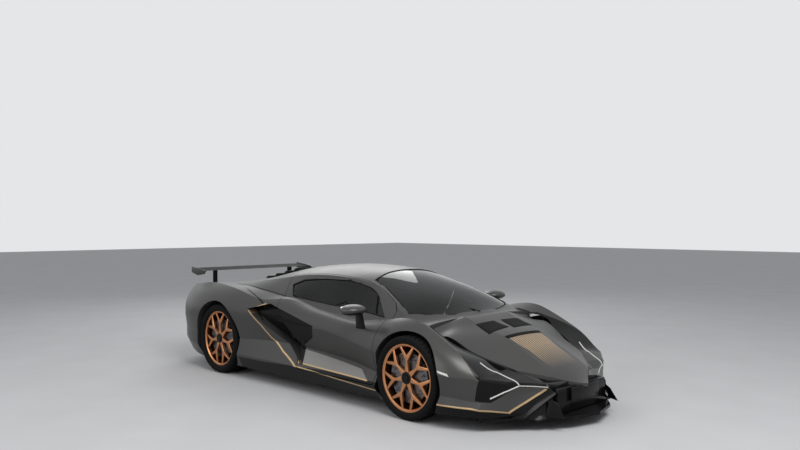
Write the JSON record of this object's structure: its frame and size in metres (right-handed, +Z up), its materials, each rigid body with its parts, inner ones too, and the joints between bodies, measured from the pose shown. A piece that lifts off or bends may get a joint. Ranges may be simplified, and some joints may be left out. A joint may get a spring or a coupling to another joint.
{
  "type": "supercar",
  "caption": "Low, wide mid-engined two-seat sports car with wedge nose, upward-turning doors, lids front and rear, raised rear wing and large spoked wheels.",
  "frame": {"origin": "on the floor, under the middle of the wheelbase and of the width", "axes": "+X to the nose, +Y to the car's left, +Z up"},
  "size_m": [4.98, 2.0982, 1.1331],
  "materials": {
    "satin_grey": "satin",
    "gloss_black": "gloss",
    "matte_black": "matte",
    "dark_glass": "clear",
    "bronze": "satin",
    "tyre_black": "matte",
    "dark_iron": "dark",
    "steel": "brushed",
    "black_leather": "soft",
    "seal_rubber": "matte",
    "aluminium_cast": "cast"
  },
  "bodies": {
    "body": {"chassis_tub": "matte_black", "front_bumper": "satin_grey", "front_splitter": "gloss_black", "front_fenders": "satin_grey", "rear_quarters": "satin_grey", "side_intakes": "gloss_black", "roof_frame": "satin_grey", "windscreen": "dark_glass", "side_sills": "gloss_black", "door_seals": "seal_rubber", "seats": "black_leather", "dashboard": "matte_black", "front_suspension": "aluminium_cast", "rear_suspension": "aluminium_cast", "engine_block": "aluminium_cast", "rear_corners": "satin_grey", "rear_fascia": "matte_black", "rear_diffuser": "gloss_black", "rear_wing": "gloss_black", "bonnet_buffers": "seal_rubber", "cover_props": "steel"},
    "bonnet": {"bonnet": "satin_grey"},
    "engine_cover": {"engine_cover": "satin_grey"},
    "steering_wheel": {"steering_wheel": "matte_black"},
    "door_left": {"door_left": "satin_grey", "door_frame_left": "gloss_black", "door_scoop_left": "gloss_black", "door_glass_left": "dark_glass"},
    "knuckle_front_left": {"front_knuckle_left": "dark_iron"},
    "wheel_front_left": {"front_tyre_left": "tyre_black", "front_rim_left": "bronze", "front_disc_left": "dark_iron"},
    "wheel_rear_left": {"rear_tyre_left": "tyre_black", "rear_rim_left": "bronze", "rear_disc_left": "dark_iron"},
    "door_right": {"door_right": "satin_grey", "door_frame_right": "gloss_black", "door_scoop_right": "gloss_black", "door_glass_right": "dark_glass"},
    "knuckle_front_right": {"front_knuckle_right": "dark_iron"},
    "wheel_front_right": {"front_tyre_right": "tyre_black", "front_rim_right": "bronze", "front_disc_right": "dark_iron"},
    "wheel_rear_right": {"rear_tyre_right": "tyre_black", "rear_rim_right": "bronze", "rear_disc_right": "dark_iron"}
  },
  "joints": [
    {"name": "steer_left", "type": "hinge", "parent": "body", "child": "knuckle_front_left", "pos_m": [1.35, 0.8625, 0.33], "axis": [0, 0, 1], "range_deg": [-30, 30]},
    {"name": "spin_front_left", "type": "hinge", "parent": "knuckle_front_left", "child": "wheel_front_left", "pos_m": [1.35, 0.8625, 0.33], "axis": [0, 1, 0], "continuous": true},
    {"name": "spin_rear_left", "type": "hinge", "parent": "body", "child": "wheel_rear_left", "pos_m": [-1.35, 0.8405, 0.355], "axis": [0, 1, 0], "continuous": true},
    {"name": "door_turn_left", "type": "hinge", "parent": "body", "child": "door_left", "pos_m": [0.96, 0.72, 0.85], "axis": [-0.3002, 0.9505, -0.08], "range_deg": [0, 60]},
    {"name": "steer_right", "type": "hinge", "parent": "body", "child": "knuckle_front_right", "pos_m": [1.35, -0.8625, 0.33], "axis": [0, 0, 1], "range_deg": [-30, 30]},
    {"name": "spin_front_right", "type": "hinge", "parent": "knuckle_front_right", "child": "wheel_front_right", "pos_m": [1.35, -0.8625, 0.33], "axis": [0, 1, 0], "continuous": true},
    {"name": "spin_rear_right", "type": "hinge", "parent": "body", "child": "wheel_rear_right", "pos_m": [-1.35, -0.8405, 0.355], "axis": [0, 1, 0], "continuous": true},
    {"name": "door_turn_right", "type": "hinge", "parent": "body", "child": "door_right", "pos_m": [0.96, -0.72, 0.85], "axis": [0.3002, 0.9505, 0.08], "range_deg": [0, 60]},
    {"name": "bonnet_lift", "type": "hinge", "parent": "body", "child": "bonnet", "pos_m": [1.332, 0, 0.752], "axis": [0, -1, 0], "range_deg": [0, 50]},
    {"name": "engine_cover_lift", "type": "hinge", "parent": "body", "child": "engine_cover", "pos_m": [-0.734, 0, 1.096], "axis": [0, 1, 0], "range_deg": [0, 45]},
    {"name": "steering_turn", "type": "hinge", "parent": "body", "child": "steering_wheel", "pos_m": [0.67975, 0.347, 0.58], "axis": [-0.9482, 0, 0.3178], "range_deg": [-360, 360]}
  ],
  "couplings": [
    {"joint": "steer_right", "follows": "steer_left", "ratio": 1},
    {"joint": "steering_turn", "follows": "steer_left", "ratio": 12}
  ]
}
